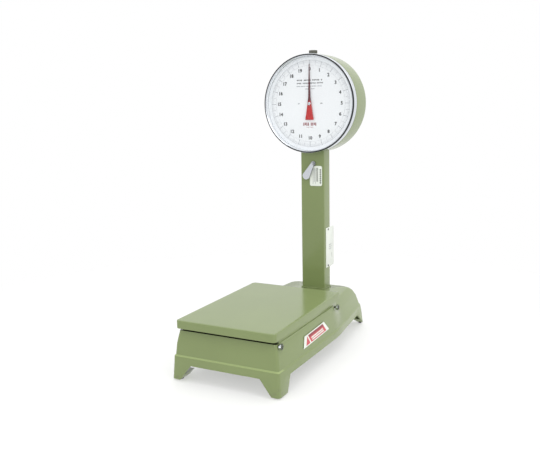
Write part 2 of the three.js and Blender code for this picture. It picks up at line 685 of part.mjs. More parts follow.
// The long lever runs from the front fulcrum to the foot of the pull rod.
function longLever() {
  const { z, longFulcrum, arm, link, spread } = LEVER;
  const [start, end] = [longFulcrum - 9, ROD_Y + 8];
  const tipHalf = 4.5;
  const shoulder = longFulcrum + arm + 14;
  const outer = polygon([
    [-spread - 10, along(start)], [spread + 10, along(start)], [spread + 10, along(shoulder)],
    [12, along(end - 60)], [tipHalf, along(end - 45)], [tipHalf, along(end)],
    [-tipHalf, along(end)], [-tipHalf, along(end - 45)], [-12, along(end - 60)],
    [-spread - 10, along(shoulder)],
  ]);
  const frontWindow = polygon([
    [6 - spread, along(start + 22)], [spread - 6, along(start + 22)], [spread - 6, along(shoulder - 6)],
    [55, along(link - 14)], [-55, along(link - 14)], [6 - spread, along(shoulder - 6)],
  ]);
  const rearWindow = polygon([
    [-46, along(link + 14)], [46, along(link + 14)], [6, along(end - 95)], [-6, along(end - 95)],
  ]);
  const windows = [frontWindow, rearWindow].map((shape) => raised(shape, LONG_LOW - 5, LONG_HIGH + 5));
  const boxRound = (x, halfWidth, distance, z0, z1) =>
    block(x - halfWidth, x + halfWidth, along(distance - 8.5), along(distance + 8.5), z0, z1);
  const slots = [-15, 15].map((x) => boxRound(x, 3.5, link, LONG_LOW - 5, LONG_HIGH + 5));
  const ears = [-spread, spread].flatMap((x) =>
    [longFulcrum, longFulcrum + arm].map((distance) => boxRound(x, 7, distance, LONG_LOW + 2, z + 8)));
  const frame = cut(raised(outer, LONG_LOW, LONG_HIGH), ...windows, ...slots);
  return cut(join(frame, ...ears), knifeHole(longFulcrum), knifeHole(longFulcrum + arm));
}

// The short lever lies level with the knives and reaches forward over the long one.
function shortLever() {
  const { z, shortFulcrum, arm, link, spread } = LEVER;
  const shoulder = shortFulcrum - arm - 14;
  const outer = polygon([
    [-spread - 10, along(shortFulcrum + 9)], [-spread - 10, along(shoulder)], [-9, along(link + 9)],
    [-9, along(link - 7)], [9, along(link - 7)], [9, along(link + 9)], [spread + 10, along(shoulder)],
    [spread + 10, along(shortFulcrum + 9)],
  ]);
  const inner = polygon([
    [6 - spread, along(shortFulcrum - 12)], [6 - spread, along(shoulder + 8)], [-4, along(link + 24)],
    [4, along(link + 24)], [spread - 6, along(shoulder + 8)], [spread - 6, along(shortFulcrum - 12)],
  ]);
  const linkHole = rodX(3.4, -30, 30, along(link), z, 16);
  return cut(raised(outer, z - 8, z + 8), raised(inner, z - 15, z + 15), knifeHole(shortFulcrum),
    knifeHole(shortFulcrum - arm), linkHole);
}

// A stirrup hung from the short lever's tip, which pulls the cross bar of the long lever down.
function leverLink() {
  const lowerPin = LONG_LOW - 4.2;
  const cheeks = [-15, 15].map((x) =>
    block(x - 2, x + 2, along(LEVER.link - 3.5), along(LEVER.link + 3.5), lowerPin - 4, LEVER.z + 5));
  const pins = [lowerPin, LEVER.z].map((z) => rodX(3, -15, 15, along(LEVER.link), z, 16));
  return join(...cheeks, ...pins);
}

const KNIFE_REACH = 110;
const LOAD_REACH = 102;
place('long_lever', longLever(), IRON);
place('long_fulcrum_knife', knifeBar(LEVER.longFulcrum, KNIFE_REACH), STEEL);
place('long_load_knife', knifeBar(LEVER.longFulcrum + LEVER.arm, LOAD_REACH), STEEL);
place('short_lever', shortLever(), IRON);
place('short_fulcrum_knife', knifeBar(LEVER.shortFulcrum, KNIFE_REACH), STEEL);
place('short_load_knife', knifeBar(LEVER.shortFulcrum - LEVER.arm, LOAD_REACH), STEEL);
place('lever_link', leverLink(), STEEL);

// ---------------------------------------------------------------- platform

function platformPan() {
  const { width, length, top, skirt, corner, sheet } = PLATFORM;
  const outline = (inset) => roundedRectangle(-width / 2 + inset, width / 2 - inset,
    along(inset), along(length - inset), corner - inset);
  const edge = 2.2;
  const body = raised(outline(0), top - skirt, top - edge, 6);
  const chamfer = raised(outline(1.4), top - edge, top, 6);
  return cut(join(body, chamfer), raised(outline(sheet), top - skirt - 1, top - sheet, 6));
}

const BEARING_X = 99;

// A rectangular frame with four drop legs whose bearings sit on the load knives.
function platformFrame() {
  const [low, high] = [132, PLATFORM.top - PLATFORM.sheet - GAP];
  const [front, rear] = [LEVER.longFulcrum + LEVER.arm - 30, LEVER.shortFulcrum - LEVER.arm + 30];
  const ring = cut(
    block(-103, 103, along(front), along(rear), low, high),
    block(-91, 91, along(front + 14), along(rear - 14), low - 5, high + 5),
  );
  const ribs = [-30, 30].map((x) => block(x - 4, x + 4, along(front + 5), along(rear - 5), high - 8, high));
  return join(ring, ...ribs);
}

function bearing(side, distance) {
  const x = side * BEARING_X;
  const leg = block(x - 2.5, x + 2.5, along(distance - 8), along(distance + 8), LEVER.z - 1, 132 - GAP);
  const vee = sideShape(polygon([
    [distance - 12.3, LEVER.z - 6.5], [distance, LEVER.z + KNIFE + 2.5 * GAP],
    [distance + 12.3, LEVER.z - 6.5],
  ].map(([d, z]) => [along(d), z])), -150, 150);
  return cut(leg, vee);
}

place('platform_pan', platformPan(), GREEN);
place('platform_frame', platformFrame(), IRON);
for (const [sideName, side] of SIDES) {
  place(`platform_bearing_front_${sideName}`, bearing(side, LEVER.longFulcrum + LEVER.arm), STEEL);
  place(`platform_bearing_rear_${sideName}`, bearing(side, LEVER.shortFulcrum - LEVER.arm), STEEL);
}

export default scale;
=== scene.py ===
"""The looks of a mechanical dial platform scale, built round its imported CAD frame.

All lengths are metres. The user stands on the -Y side and reads the dial, with +X to the right.
"""

import json
from math import atan2, cos, hypot, pi, radians, sin, tau

import bmesh
import bpy
from mathutils import Matrix, Vector


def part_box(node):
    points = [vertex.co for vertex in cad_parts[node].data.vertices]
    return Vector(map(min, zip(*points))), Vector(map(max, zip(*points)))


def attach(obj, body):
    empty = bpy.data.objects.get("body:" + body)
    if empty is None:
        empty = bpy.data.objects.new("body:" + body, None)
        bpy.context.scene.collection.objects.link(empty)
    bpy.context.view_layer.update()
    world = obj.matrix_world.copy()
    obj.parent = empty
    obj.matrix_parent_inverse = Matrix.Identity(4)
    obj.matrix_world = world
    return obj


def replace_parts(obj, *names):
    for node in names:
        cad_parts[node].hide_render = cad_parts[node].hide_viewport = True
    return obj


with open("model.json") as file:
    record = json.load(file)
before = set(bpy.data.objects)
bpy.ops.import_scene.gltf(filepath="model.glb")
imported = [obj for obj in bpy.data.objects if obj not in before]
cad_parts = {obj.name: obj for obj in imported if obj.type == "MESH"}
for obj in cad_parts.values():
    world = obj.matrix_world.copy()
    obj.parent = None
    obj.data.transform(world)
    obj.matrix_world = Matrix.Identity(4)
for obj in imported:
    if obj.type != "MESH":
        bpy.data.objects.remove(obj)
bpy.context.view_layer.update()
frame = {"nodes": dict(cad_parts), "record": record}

MM = 0.001

# ------------------------------------------------------------------ places taken from the frame


def middle(node):
    low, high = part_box(node)
    return (low + high) / 2


DIAL_LOW, DIAL_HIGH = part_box("dial_plate")
HUB = Vector((0, DIAL_LOW.y, (DIAL_LOW.z + DIAL_HIGH.z) / 2))  # centre of the dial's face
BACK = Vector((0, 1, 0))
UP = Vector((0, 0, 1))
RIGHT = Vector((1, 0, 0))
RECORD_SLOTS = {part["node"]: part["material_slot"] for part in frame["record"]["subparts"]}


# ------------------------------------------------------------------ materials


class Shader:
    """A material whose nodes feed one Principled BSDF."""

    def __init__(self, name, **constants):
        self.material = bpy.data.materials.new(name)
        self.material.use_nodes = True
        self.tree = self.material.node_tree
        self.surface = self.tree.nodes["Principled BSDF"]
        for socket, value in constants.items():
            self.surface.inputs[socket.replace("_", " ")].default_value = value

    def node(self, kind, settings=None, **inputs):
        """Adds a node; an input is a constant or another node's output."""
        made = self.tree.nodes.new(kind)
        for key, value in (settings or {}).items():
            setattr(made, key, value)
        for socket, value in inputs.items():
            self.feed(made.inputs[socket.replace("_", " ")], value)
        return made

    def feed(self, socket, value):
        if isinstance(value, bpy.types.NodeSocket):
            self.tree.links.new(value, socket)
        else:
            socket.default_value = value

    def place(self, stretch=(1, 1, 1)):
        """Object coordinates, stretched along each axis."""
        coordinates = self.node("ShaderNodeTexCoord").outputs["Object"]
        return self.node("ShaderNodeMapping", Vector=coordinates, Scale=stretch).outputs["Vector"]

    def noise(self, scale, detail=3.0, stretch=(1, 1, 1)):
        made = self.node("ShaderNodeTexNoise", Vector=self.place(stretch), Scale=scale, Detail=detail)
        return made.outputs["Fac"]

    def between(self, amount, low, high, start=0.3, end=0.7):
        """A number that runs from low to high as amount goes from start to end."""
        made = self.node("ShaderNodeMapRange", Value=amount)
        for socket, value in (("From Min", start), ("From Max", end), ("To Min", low), ("To Max", high)):
            made.inputs[socket].default_value = value
        return made.outputs["Result"]

    def mix(self, amount, first, second):
        """A colour mixed from two others."""
        made = self.node("ShaderNodeMix", {"data_type": "RGBA"})
        self.feed(made.inputs["Factor"], amount)
        self.feed(made.inputs[6], first)
        self.feed(made.inputs[7], second)
        return made.outputs[2]

    def bump(self, height, depth, normal=None):
        made = self.node("ShaderNodeBump", Height=height, Distance=depth, Strength=1.0)
        if normal is not None:
            self.feed(made.inputs["Normal"], normal)
        return made.outputs["Normal"]

    def finish(self, colour=None, roughness=None, normal=None):
        for socket, value in (("Base Color", colour), ("Roughness", roughness), ("Normal", normal)):
            if value is not None:
                self.feed(self.surface.inputs[socket], value)
        return self.material


def linear(red, green, blue):
    """The linear colour of an 8-bit sRGB one."""
    def channel(value):
        share = value / 255
        return share / 12.92 if share <= 0.04045 else ((share + 0.055) / 1.055) ** 2.4
    return (channel(red), channel(green), channel(blue), 1.0)


def shade(colour, factor):
    return (*(min(1.0, channel * factor) for channel in colour[:3]), 1.0)


def grained(name, colour, roughness, *, mottle=0.08, patch=14.0, grain=500.0, depth=0.02 * MM,
            spread=0.08, stretch=(1, 1, 1), **constants):
    """A surface with cloudy colour, uneven gloss and a fine grain."""
    shader = Shader(name, **constants)
    cloud = shader.noise(patch, 4.0)
    fine = shader.noise(grain, 2.0, stretch)
    tone = shader.mix(shader.between(cloud, 0.0, 1.0), shade(colour, 1 - mottle), shade(colour, 1 + mottle))
    gloss = shader.between(shader.noise(patch * 3.1, 3.0, stretch), roughness - spread, roughness + spread)
    return shader.finish(tone, gloss, shader.bump(fine, depth))


FRONT_TO_SIDE = (-0.286, -0.276)  # over this depth the front's shade gives way to the side's


def enamel(name="green_enamel", front_painted_light=None, side_painted_light=None):
    """Stoved sage-green enamel with a faint orange peel, scuffed near the floor.

    With painted light given, the base's front takes front_painted_light and everything behind it
    side_painted_light: painted shade and painted light by face position, not a colour of the enamel's own.
    """
    green = linear(127, 141, 92)
    shader = Shader(name, IOR=1.5)
    cloud = shader.noise(5.0, 3.0)
    tone = shader.mix(shader.between(cloud, 0.0, 1.0), shade(green, 0.96), shade(green, 1.04))
    height = shader.node("ShaderNodeSeparateXYZ", Vector=shader.place()).outputs["Z"]
    low_down = shader.between(height, 0.7, 0.0, 0.0, 0.05)
    scuffs = shader.between(shader.noise(55.0, 6.0), 0.0, 1.0, 0.56, 0.68)
    worn = shader.node("ShaderNodeMath", {"operation": "MULTIPLY"})
    shader.feed(worn.inputs[0], low_down)
    shader.feed(worn.inputs[1], scuffs)
    tone = shader.mix(worn.outputs[0], tone, linear(118, 124, 92))
    # Painted light: the tone is scaled by whether a face lies on the base's front or behind it.
    if front_painted_light:
        depth_wise = shader.node("ShaderNodeSeparateXYZ", Vector=shader.place()).outputs["Y"]
        behind_front = shader.between(depth_wise, 0.0, 1.0, *FRONT_TO_SIDE)
        tone = shader.mix(behind_front, shade(green, front_painted_light), shade(green, side_painted_light))
    gloss = shader.between(shader.noise(18.0, 4.0), 0.14, 0.2)
    peel = shader.bump(shader.noise(320.0, 1.0), 0.005 * MM)
    ripple = shader.bump(shader.noise(22.0, 1.0), 0.03 * MM, peel)
    return shader.finish(tone, gloss, ripple)


def pointer_red(turning_height):
    """Red lacquer on the counterweight, dark maroon along the needle."""
    shader = Shader("pointer_lacquer", Coat_Weight=0.3)
    height = shader.node("ShaderNodeSeparateXYZ", Vector=shader.place()).outputs["Z"]
    upward = shader.between(height, 0.0, 1.0, turning_height + 1 * MM, turning_height + 12 * MM)
    red = shader.mix(shader.between(shader.noise(60.0), 0.0, 1.0), linear(186, 26, 30), linear(198, 36, 36))
    maroon = linear(92, 18, 34)
    return shader.finish(shader.mix(upward, red, maroon), shader.between(shader.noise(90.0), 0.28, 0.4),
                         shader.bump(shader.noise(700.0, 2.0), 0.01 * MM))


def clear_glass():
    shader = Shader("dial_glass_clear", Alpha=0.035, IOR=1.5)
    smear = shader.between(shader.noise(12.0, 5.0), 0.02, 0.07)
    return shader.finish(linear(96, 106, 108), smear, shader.bump(shader.noise(8.0, 1.0), 0.02 * MM))


STEEL = linear(186, 189, 192)
MATERIALS = {
    "green_enamel": enamel(),
    "bright_plating": grained("bright_plating", linear(214, 218, 224), 0.14, mottle=0.03, grain=900.0,
                              depth=0.004 * MM, spread=0.05, Metallic=1.0),
    "iron": grained("grey_iron", linear(112, 114, 110), 0.55, mottle=0.12, grain=420.0, depth=0.12 * MM,
                    Metallic=0.35),
    "steel": grained("zinc_steel", STEEL, 0.32, mottle=0.05, grain=240.0, depth=0.006 * MM,
                     stretch=(1, 1, 14), Metallic=1.0),
    "brass": grained("turned_brass", linear(196, 164, 96), 0.3, mottle=0.06, grain=900.0,
                     depth=0.006 * MM, stretch=(1, 8, 1), Metallic=1.0),
    "rubber": grained("black_rubber", linear(38, 38, 38), 0.75, mottle=0.2, grain=900.0, depth=0.05 * MM),
    "dark_plastic": grained("moulded_plastic", linear(96, 96, 88), 0.45, mottle=0.12, grain=1400.0,
                            depth=0.03 * MM),
    "white_plate": grained("white_plate", linear(230, 235, 226), 0.35, mottle=0.02, grain=800.0,
                           depth=0.006 * MM, Coat_Weight=0.2),
    "dial_white": grained("dial_enamel", linear(247, 250, 253), 0.4, mottle=0.012, patch=8.0,
                          grain=900.0, depth=0.004 * MM),
    "badge_red": grained("badge_red", linear(196, 52, 62), 0.3, mottle=0.05, grain=900.0,
                         depth=0.006 * MM, Coat_Weight=0.3),
    "pointer_red": pointer_red(HUB.z),
    "glass": clear_glass(),
}
INK = grained("printing_ink", linear(14, 14, 20), 0.5, mottle=0.15, grain=1200.0, depth=0.004 * MM)
FAINT_INK = grained("faint_ink", linear(104, 108, 118), 0.5, mottle=0.1, grain=1200.0, depth=0.004 * MM)
DARK_RED = grained("badge_dark_red", linear(142, 34, 46), 0.3, mottle=0.05, grain=900.0, depth=0.006 * MM)
# The tones below were tuned until the render came near the photo; they don't stand for real wear or dust.
# Painted reflection: a dim greenish steel on the bolt ends stands in for dark reflections.
BOLT_END_PAINTED_REFLECTION = grained("bolt_end_painted_reflection", linear(92, 98, 84), 0.3, mottle=0.1, grain=900.0, depth=0.01 * MM,
                   Metallic=0.8)
# Painted shade: the rim under the platform is very dark at the front, where the gap lies in shadow, and
# lighter at the sides.
PAINTED_RIM_SHADE = enamel("rim_painted_shade_enamel", 0.12, 1.2)
# Painted highlight: upward faces of the ridge are paler, most of all on the front.
PAINTED_RIDGE_HIGHLIGHT = enamel("ridge_painted_highlight_enamel", 1.45, 1.08)
# Painted reflection: a near-black steel for the bezel's rolled edge and the lock lever's sides stands in for
# dark reflections.
PAINTED_DARK_REFLECTION = grained("painted_dark_reflection_steel", linear(40, 43, 44), 0.3, mottle=0.06, grain=900.0,
                    depth=0.004 * MM, Metallic=0.5)


# ------------------------------------------------------------------ mesh building


def add_piece(name, mesh, body, slot, *materials):
    """A new piece of the object on its body, with its materials; without materials given, its slot picks one.
    """
    piece = bpy.data.objects.new(name, mesh)
    bpy.context.scene.collection.objects.link(piece)
    for material in materials or (MATERIALS[slot],):
        mesh.materials.append(material)
    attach(piece, body)
    return piece


def mesh_of(name, points, faces, sharp=33):
    mesh = bpy.data.meshes.new(name)
    mesh.from_pydata(points, [], faces)
    work = bmesh.new()
    work.from_mesh(mesh)
    bmesh.ops.recalc_face_normals(work, faces=work.faces)
    work.to_mesh(mesh)
    work.free()
    mesh.shade_smooth()
    mesh.set_sharp_from_angle(angle=radians(sharp))
    return mesh


def skin(rings, wrap=False):
    """Faces between successive rings of point numbers, with repeated corners dropped."""
    pairs = list(zip(rings, rings[1:]))
    if wrap:
        pairs.append((rings[-1], rings[0]))
    faces = []
    for lower, upper in pairs:
        for i in range(len(lower)):
            j = (i + 1) % len(lower)
            faces.append(list(dict.fromkeys((lower[i], lower[j], upper[j], upper[i]))))
    return faces


def loft(name, rings, wrap=False, sharp=33):
    """A closed body through rings of points, capped at both ends unless it wraps round."""
    count = len(rings[0])
    numbers = [list(range(i * count, (i + 1) * count)) for i in range(len(rings))]
    faces = skin(numbers, wrap)
    if not wrap:
        faces += [numbers[0][::-1], numbers[-1]]
    return mesh_of(name, [point for ring in rings for point in ring], faces, sharp)


def lathe(name, profile, origin, axis, segments=96, sharp=33):
    """Turns a profile of (radius, distance) about an axis.

    A profile that ends where it began makes a ring.
    """
    side = axis.orthogonal().normalized()
    across = axis.cross(side)
    ring_shaped = profile[0] == profile[-1]
    points, rings = [], []
    for radius, distance in profile[:-1] if ring_shaped else profile:
        start = len(points)
        spoke_count = segments if radius > 0 else 1
        for i in range(spoke_count):
            angle = i / segments * tau
            points.append(origin + axis * distance + (side * cos(angle) + across * sin(angle)) * radius)
        rings.append([start + i % spoke_count for i in range(segments)])
    return mesh_of(name, points, skin(rings, ring_shaped), sharp)


def soften(profile, reach, steps=3):
    """Rounds each inner corner of a line of (u, v) points with a short curve."""
    points = [Vector(point) for point in profile]
    closed = profile[0] == profile[-1]
    count = len(points) - 1 if closed else len(points)
    softened = [] if closed else [points[0]]
    for i in range(0 if closed else 1, count if closed else count - 1):
        corner, before, after = points[i], points[(i - 1) % count], points[(i + 1) % count]
        room = min(reach, (before - corner).length * 0.45, (after - corner).length * 0.45)
        start = corner + (before - corner).normalized() * room
        end = corner + (after - corner).normalized() * room
        for step in range(steps + 1):
            t = step / steps
            softened.append(start * (1 - t) ** 2 + corner * 2 * t * (1 - t) + end * t ** 2)
    softened.append(softened[0] if closed else points[-1])
    return [tuple(point) for point in softened]


def rounded_rectangle(x0, x1, y0, y1, radius, steps=10):
    """Points anticlockwise round a rectangle with rounded corners."""
    spots = ((x1, y0, -0.25), (x1, y1, 0.0), (x0, y1, 0.25), (x0, y0, 0.5))
    points = []
    for x, y, first in spots:
        centre_x = x - radius if x == x1 else x + radius
        centre_y = y - radius if y == y1 else y + radius
        for step in range(steps + 1):
            angle = (first + 0.25 * step / steps) * tau
            points.append((centre_x + radius * cos(angle), centre_y + radius * sin(angle)))
    return points


def prisms(name, outlines, origin, across, upward, depth):
    """Thin closed plates, one for each outline of (u, v) points, standing depth proud of their plane."""
    outward = across.cross(upward) * depth
    points, faces = [], []
    for outline in outlines:
        start, count = len(points), len(outline)
        flat = [origin + across * u + upward * v for u, v in outline]
        points += flat + [point + outward for point in flat]
        near, far = list(range(start, start + count)), list(range(start + count, start + 2 * count))
        faces += [near[::-1], far] + skin([near, far])
    return mesh_of(name, points, faces)


def bar(u0, u1, v0, v1):
    return [(u0, v0), (u1, v0), (u1, v1), (u0, v1)]


def bevelled_copy(name, node, width, segments=3, above=30):
    """A CAD node's shape with its sharp edges rounded off."""
    mesh = frame["nodes"][node].data.copy()
    mesh.name = name
    mesh.materials.clear()
    work = bmesh.new()
    work.from_mesh(mesh)
    bmesh.ops.remove_doubles(work, verts=work.verts, dist=0.01 * MM)
    bmesh.ops.dissolve_limit(work, angle_limit=radians(0.4), verts=work.verts, edges=work.edges)
    sharp = [edge for edge in work.edges if edge.is_manifold and edge.calc_face_angle() > radians(above)]
    bmesh.ops.bevel(work, geom=sharp, offset=width, offset_type="OFFSET", segments=segments, profile=0.5,
                    affect="EDGES", clamp_overlap=False)
    bmesh.ops.recalc_face_normals(work, faces=work.faces)
    work.to_mesh(mesh)
    work.free()
    mesh.shade_smooth()
    mesh.set_sharp_from_angle(angle=radians(above))
    return mesh


def without(mesh, cutter):
    """The mesh with another mesh's shape cut out of it."""
    whole, tool = (bpy.data.objects.new(part.name, part) for part in (mesh, cutter))
    for part in (whole, tool):
        bpy.context.scene.collection.objects.link(part)
    cut = whole.modifiers.new("cut", "BOOLEAN")
    cut.object = tool
    cut.operation = "DIFFERENCE"
    cut.solver = "EXACT"
    evaluated = whole.evaluated_get(bpy.context.evaluated_depsgraph_get())
    result = bpy.data.meshes.new_from_object(evaluated)
    for part in (whole, tool):
        bpy.data.objects.remove(part)
    result.shade_smooth()
    result.set_sharp_from_angle(angle=radians(33))
    return result


# ------------------------------------------------------------------ base and platform


def build_base():
    """The base, with a painted shade on the rim under the platform's front, painted light on that rim at the
    sides and a painted highlight on the ridge above the feet.
    """
    mesh = bevelled_copy("base_shell", "base_casting", 0.5 * MM)
    shell = add_piece("base_shell", mesh, "stand", "green_enamel",
                      MATERIALS["green_enamel"], PAINTED_RIM_SHADE, PAINTED_RIDGE_HIGHLIGHT)
    plain, rim_painted_shade, ridge_painted_highlight = 0, 1, 2
    rim, rim_half_width = 123.4 * MM, 133 * MM
    ridge_low, ridge_high, facing_up = 60.5 * MM, 64.5 * MM, 0.3
    platform_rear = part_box("platform_pan")[1].y
    for polygon in shell.data.polygons:
        centre = polygon.center
        polygon.material_index = plain
        # Rim faces under the platform take the painted shade.
        if centre.z > rim and abs(centre.x) < rim_half_width and centre.y < platform_rear:
            polygon.material_index = rim_painted_shade
        # Upward faces on the ridge take the painted highlight.
        elif ridge_low < centre.z < ridge_high and polygon.normal.z > facing_up:
            polygon.material_index = ridge_painted_highlight
    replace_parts(shell, "base_casting")
    for end in ("front", "rear"):
        for side in ("left", "right"):
            build_foot_pad(f"foot_pad_{end}_{side}")
            build_hanger_bolt(f"hanger_bolt_{end}_{side}", side == "right")


def build_foot_pad(node):
    low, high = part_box(node)
    radius, height = (high.x - low.x) / 2, high.z - low.z
    profile = soften([(0, 0), (radius * 0.94, 0), (radius, height * 0.4), (radius, height), (0, height)],
                     0.6 * MM)
    mesh = lathe(f"{node}_rubber", profile, Vector((*middle(node).xy, low.z)), UP, 40)
    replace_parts(add_piece(f"{node}_rubber", mesh, "stand", "rubber"), node)


def build_hanger_bolt(node, headed):
    """A plated bolt; a headed one ends in a chamfered hexagon over a round face."""
    low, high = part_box(node)
    centre = middle(node)
    shank, head_length = 2.2 * MM, 7 * MM
    name = f"{node}_plated"
    if not headed:
        profile = soften([(0, 0), (shank, 0), (shank, high.x - low.x), (0, high.x - low.x)], 0.5 * MM)
        mesh = lathe(name, profile, Vector((low.x, centre.y, centre.z)), RIGHT, 24)
        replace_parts(add_piece(name, mesh, "stand", "bright_plating"), node)
        return
    head_low, across_corners = high.x - head_length, (high.z - low.z) / 2
    rows = [(low.x, shank, False), (head_low, shank, False), (head_low, across_corners * 0.84, False),
            (head_low + 0.5 * MM, across_corners * 0.86, False), (head_low + 0.6 * MM, across_corners, True),
            (high.x - 1.2 * MM, across_corners, True), (high.x - 0.3 * MM, across_corners * 0.86, False),
            (high.x, across_corners * 0.74, False), (high.x, across_corners * 0.5, False),
            (high.x - 0.9 * MM, across_corners * 0.46, False)]
    count = 48
    rings = []
    for x, radius, hexagonal in rows:
        ring = []
        for i in range(count):
            angle = i / count * tau
            within = (angle + pi / 6) % (pi / 3) - pi / 6
            reach = radius * cos(pi / 6) / cos(within) if hexagonal else radius
            ring.append(Vector((x, centre.y + reach * sin(angle), centre.z + reach * cos(angle))))
        rings.append(ring)
    mesh = loft(name, rings, sharp=25)
    bolt = add_piece(name, mesh, "stand", "bright_plating", MATERIALS["bright_plating"], BOLT_END_PAINTED_REFLECTION)
    # The end face and the socket recess take the painted dark reflection.
    for polygon in mesh.polygons:
        reach = hypot(polygon.center.y - centre.y, polygon.center.z - centre.z)
        at_end = polygon.center.x > high.x - 1.1 * MM
        polygon.material_index = int(at_end or reach < across_corners * 0.4)
    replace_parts(bolt, node)


def build_platform():
    """A pressed steel pan: flat top, rounded rim and a straight skirt with a hemmed lower edge."""
    low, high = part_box("platform_pan")
    sheet, corner = 2 * MM, 10 * MM
    profile = [(0.0, low.z), (0.0, high.z - 2 * MM), (0.2 * MM, high.z - 1.1 * MM),
               (0.7 * MM, high.z - 0.4 * MM), (1.7 * MM, high.z), (6 * MM, high.z)]
    inner = [(6 * MM, high.z - sheet), (sheet + 1.2 * MM, high.z - sheet), (sheet, high.z - sheet - 1.2 * MM),
             (sheet, low.z + 0.4 * MM), (sheet - 0.4 * MM, low.z), (0.5 * MM, low.z)]

    def outline(inset, z):
        flat = rounded_rectangle(low.x + inset, high.x - inset, low.y + inset, high.y - inset,
                                 corner - inset, 12)
        return [Vector((x, y, z)) for x, y in flat]

    outer_rings = [outline(inset, z) for inset, z in profile]
    inner_rings = [outline(inset, z) for inset, z in inner]
    rings = outer_rings + inner_rings
    count = len(rings[0])
    numbers = [list(range(i * count, (i + 1) * count)) for i in range(len(rings))]
    faces = skin(numbers[:6]) + skin(numbers[6:]) + skin([numbers[-1], numbers[0]])
    faces += [numbers[5], numbers[6][::-1]]
    mesh = mesh_of("platform_plate", [point for ring in rings for point in ring], faces)
    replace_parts(add_piece("platform_plate", mesh, "platform", "green_enamel"), "platform_pan")


# ------------------------------------------------------------------ column


def tube_section(node, radius, inset=0.0):
    low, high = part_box(node)
    return rounded_rectangle(low.x + inset, high.x - inset, low.y + inset, high.y - inset, radius - inset, 8)


def build_column():
    low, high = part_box("column_tube")
    wall, corner = 2 * MM, 3.2 * MM
    outside, inside = tube_section("column_tube", corner), tube_section("column_tube", corner, wall)
    rings = []
    for section, heights in ((outside, (low.z, high.z)), (inside, (high.z, low.z))):
        rings += [[Vector((x, y, z)) for x, y in section] for z in heights]
    mesh = loft("column_shell", rings, wrap=True)
    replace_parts(add_piece("column_shell", mesh, "stand", "green_enamel"), "column_tube")

    low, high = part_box("column_flange")
    inner = tube_section("column_tube", corner, wall)
    rings = []
    for inset, z in ((0.0, low.z), (0.0, high.z - 1.2 * MM), (0.4 * MM, high.z - 0.3 * MM),
                     (1.4 * MM, high.z)):
        rings.append([Vector((x, y, z)) for x, y in tube_section("column_flange", 4.5 * MM, inset)])
    rings += [[Vector((x, y, z)) for x, y in inner] for z in (high.z, low.z)]
    mesh = loft("column_foot", rings, wrap=True)
    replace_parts(add_piece("column_foot", mesh, "stand", "green_enamel"), "column_flange")


def plate_rings(outline, plane, inset_scale, thickness):
    """Rings of a thin plate whose outer edge is slightly eased."""
    origin, across, upward = plane
    outward = across.cross(upward)
    centre_u = sum(u for u, _ in outline) / len(outline)
    centre_v = sum(v for _, v in outline) / len(outline)
    rings = []
    for scale, depth in ((1, 0), (1, thickness * 0.6), (inset_scale, thickness)):
        rings.append([origin + across * (centre_u + (u - centre_u) * scale)
                      + upward * (centre_v + (v - centre_v) * scale) + outward * depth for u, v in outline])
    return rings


def build_instruction_plate():
    """A white rounded plate with three columns of generic marks instead of wording."""
    low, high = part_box("instruction_plate")
    plane = (Vector((0, high.y, 0)), RIGHT, UP)
    outline = rounded_rectangle(low.x, high.x, low.z, high.z, 5 * MM, 8)
    mesh = loft("instruction_face", plate_rings(outline, plane, 0.985, high.y - low.y))
    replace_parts(add_piece("instruction_face", mesh, "stand", "white_plate"), "instruction_plate")

    width, top = high.x - low.x, high.z - 4 * MM
    heavy = [bar(high.x - 7 * MM, high.x - 3 * MM, top - (i * 6.2 + 9.4) * MM, top - (i * 6.2 + 5.4) * MM)
             for i in range(7)]
    text_column = [bar(low.x + width * 0.54, low.x + width * 0.68,
                       top - (i * 2.7 + 3.4) * MM, top - (i * 2.7 + 2) * MM) for i in range(15)]
    rules = [bar(low.x + width * share, low.x + width * share + 1.0 * MM, low.z + foot * MM, top - 3 * MM)
             for share, foot in ((0.26, 6), (0.36, 12), (0.44, 6))]
    front = Vector((0, low.y, 0))
    for name, outlines, ink in (("instruction_dots", heavy, INK), ("instruction_lines", text_column, INK),
                                ("instruction_rules", rules, FAINT_INK)):
        mesh = prisms(name, outlines, front, RIGHT, UP, 0.08 * MM)
        add_piece(name, mesh, "stand", "white_plate", ink)


def build_side_plate():
    """A plain white plate on the column's right side, held by two dark slotted screws."""
    low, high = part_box("side_plate")
    plane = (Vector((low.x, 0, 0)), BACK, UP)
    outline = rounded_rectangle(low.y, high.y, low.z, high.z, 1.5 * MM, 5)
    mesh = loft("side_plate_face", plate_rings(outline, plane, 0.98, high.x - low.x))
    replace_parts(add_piece("side_plate_face", mesh, "stand", "white_plate"), "side_plate")
    centre = middle("side_plate")
    marks = [bar(centre.y - 9 * MM, centre.y + 9 * MM, centre.z + dz * MM, centre.z + (dz + 1.2) * MM)
             for dz in (6, 0, -6)]
    mesh = prisms("side_plate_marks", marks, Vector((high.x, 0, 0)), BACK, UP, 0.08 * MM)
    add_piece("side_plate_marks", mesh, "stand", "white_plate", FAINT_INK)
    for end in ("lower", "upper"):
        build_screw(f"plate_screw_{end}", RIGHT, "steel", "iron")


def build_screw(node, outward, slot, look):
    """A domed screw head with a driver slot, on the face that points outward."""
    low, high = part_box(node)
    centre = middle(node)
    height = abs((high - low).dot(outward))
    radius = (high.z - low.z) / 2
    foot = centre - outward * height / 2
    profile = soften([(0, 0), (radius, 0), (radius, height * 0.45), (radius * 0.6, height * 0.9),
                      (0, height)], 0.5 * MM, 4)
    dome = lathe(f"{node}_head", profile, foot, outward, 32)
    tilt = Matrix.Rotation(radians(25), 3, outward)
    across = tilt @ outward.orthogonal().normalized()
    upward = outward.cross(across)
    groove = prisms(f"{node}_groove", [bar(-2 * radius, 2 * radius, -0.4 * MM, 0.4 * MM)],
                    foot + outward * height * 0.55, across, upward, height)
    head = add_piece(f"{node}_head", without(dome, groove), "stand", slot, MATERIALS[look])
    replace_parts(head, node)


